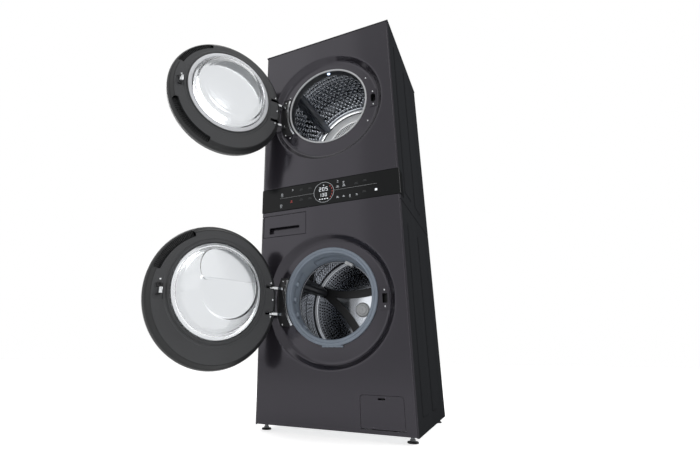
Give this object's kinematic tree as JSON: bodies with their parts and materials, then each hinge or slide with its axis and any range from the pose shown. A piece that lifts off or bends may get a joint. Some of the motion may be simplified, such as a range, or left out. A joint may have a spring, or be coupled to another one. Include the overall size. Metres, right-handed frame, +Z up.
{
  "type": "washer dryer stack",
  "caption": "Laundry tower: a front-loading washer with a tumble dryer stacked on it in one dark cabinet, with round glass doors, a control band between, a detergent drawer and a drain filter.",
  "frame": {"origin": "on the floor, at the middle of the cabinet's footprint", "axes": "+Z up, the front with both doors faces -Y, +X to the right as seen from the front"},
  "size_m": [0.8182, 1.0682, 1.655],
  "materials": {
    "side_paint": "satin",
    "front_paint": "satin",
    "zinc": "satin",
    "band_glass": "gloss",
    "black_plastic": "matte",
    "board_green": "matte",
    "grey_plastic": "satin",
    "lifter_grey": "satin",
    "drum_steel": "satin",
    "machine_steel": "satin",
    "cast_aluminium": "satin",
    "cast_weight": "matte",
    "gasket_rubber": "satin",
    "black_rubber": "matte",
    "door_shell": "gloss",
    "door_liner": "satin",
    "clear_glass": "gloss",
    "bright_metal": "polished",
    "pump_plastic": "satin",
    "inlet_plastic": "gloss",
    "front_paint_plastic": "satin"
  },
  "bodies": {
    "cabinet": {"base_pan": "zinc", "levelling_feet": "black_rubber", "washer_left_side": "side_paint", "washer_right_side": "side_paint", "dryer_left_side": "side_paint", "dryer_right_side": "side_paint", "top_cover": "side_paint", "rear_panel": "zinc", "mid_deck": "zinc", "washer_front_panel": "front_paint", "dryer_front_panel": "front_paint", "front_screws": "bright_metal", "washer_door_lock": "black_plastic", "dryer_door_lock": "black_plastic", "control_glass": "band_glass", "control_housing": "black_plastic", "display_board": "board_green", "dispenser_housing": "grey_plastic", "drain_pump": "pump_plastic", "damper_cylinders": "black_plastic", "door_gasket": "gasket_rubber", "suspension_springs": "machine_steel", "dryer_mouth_ring": "grey_plastic", "dryer_rear_bulkhead": "zinc", "drum_belt": "black_rubber", "dryer_motor": "machine_steel", "heat_exchanger": "cast_aluminium", "inlet_valve": "inlet_plastic", "mains_gland": "black_plastic", "washer_hinge_bracket": "machine_steel", "dryer_hinge_bracket": "machine_steel"},
    "tub": {"tub_front": "grey_plastic", "tub_rear": "grey_plastic", "counterweight": "cast_weight", "drum_bearings": "machine_steel", "motor_stator": "machine_steel", "damper_rods": "machine_steel"},
    "washer_drum": {"drum_shell": "drum_steel", "drum_lifters": "lifter_grey", "drum_spider": "cast_aluminium", "motor_rotor": "machine_steel"},
    "drawer": {"drawer_front": "front_paint_plastic", "drawer_tray": "grey_plastic"},
    "filter_cover": {"filter_cover": "front_paint_plastic"},
    "drain_filter": {"drain_filter": "black_plastic"},
    "washer_door": {"washer_door_frame": "door_shell", "washer_door_window": "clear_glass", "washer_door_ring": "door_liner", "washer_door_bowl": "clear_glass", "washer_door_hinge": "machine_steel"},
    "washer_hook": {"washer_door_hook": "bright_metal"},
    "dryer_door": {"dryer_door_frame": "door_shell", "dryer_door_window": "clear_glass", "dryer_door_ring": "door_liner", "dryer_door_bowl": "clear_glass", "dryer_door_hinge": "machine_steel", "dryer_door_strike": "bright_metal"},
    "dryer_drum": {"dryer_drum": "drum_steel", "dryer_lifters": "lifter_grey"},
    "motor_shaft": {"motor_shaft": "machine_steel"}
  },
  "joints": [
    {"name": "washer_door_swing", "type": "hinge", "parent": "cabinet", "child": "washer_door", "pos_m": [-0.237, -0.324, 0.465], "axis": [0, 0, -1], "range_deg": [-120.5, 9.5]},
    {"name": "dryer_door_swing", "type": "hinge", "parent": "cabinet", "child": "dryer_door", "pos_m": [-0.237, -0.324, 1.302], "axis": [0, 0, -1], "range_deg": [-123, 7]},
    {"name": "washer_hook_pivot", "type": "hinge", "parent": "washer_door", "child": "washer_hook", "pos_m": [-0.43974, -0.72336, 0.462], "axis": [0, 0, 1], "range_deg": [0, 8], "stiffness_Nm_per_rad": 0.6, "springref_deg": -5.73},
    {"name": "tub_bounce", "type": "slide", "parent": "cabinet", "child": "tub", "axis": [0, 0, 1], "range_m": [-0.012, 0.012], "stiffness_N_per_m": 12000, "springref_m": 0.02898, "deforming": ["suspension_springs", "door_gasket"]},
    {"name": "washer_drum_spin", "type": "hinge", "parent": "tub", "child": "washer_drum", "pos_m": [0, 0, 0.465], "axis": [0, 1, 0], "continuous": true},
    {"name": "drawer_slide", "type": "slide", "parent": "cabinet", "child": "drawer", "axis": [0, -1, 0], "range_m": [0, 0.24]},
    {"name": "filter_cover_swing", "type": "hinge", "parent": "cabinet", "child": "filter_cover", "pos_m": [0.1845, -0.2935, 0.0423], "axis": [1, 0, 0], "range_deg": [0, 90]},
    {"name": "drain_filter_turn", "type": "hinge", "parent": "cabinet", "child": "drain_filter", "pos_m": [0.1845, -0.286, 0.088], "axis": [0, 1, 0], "range_deg": [0, 270]},
    {"name": "dryer_drum_spin", "type": "hinge", "parent": "cabinet", "child": "dryer_drum", "pos_m": [0, 0, 1.31], "axis": [0, 1, 0], "continuous": true},
    {"name": "motor_shaft_spin", "type": "hinge", "parent": "cabinet", "child": "motor_shaft", "pos_m": [0.15, 0, 0.905], "axis": [0, 1, 0], "continuous": true}
  ],
  "couplings": [
    {"joint": "motor_shaft_spin", "follows": "dryer_drum_spin", "ratio": 22.292}
  ]
}
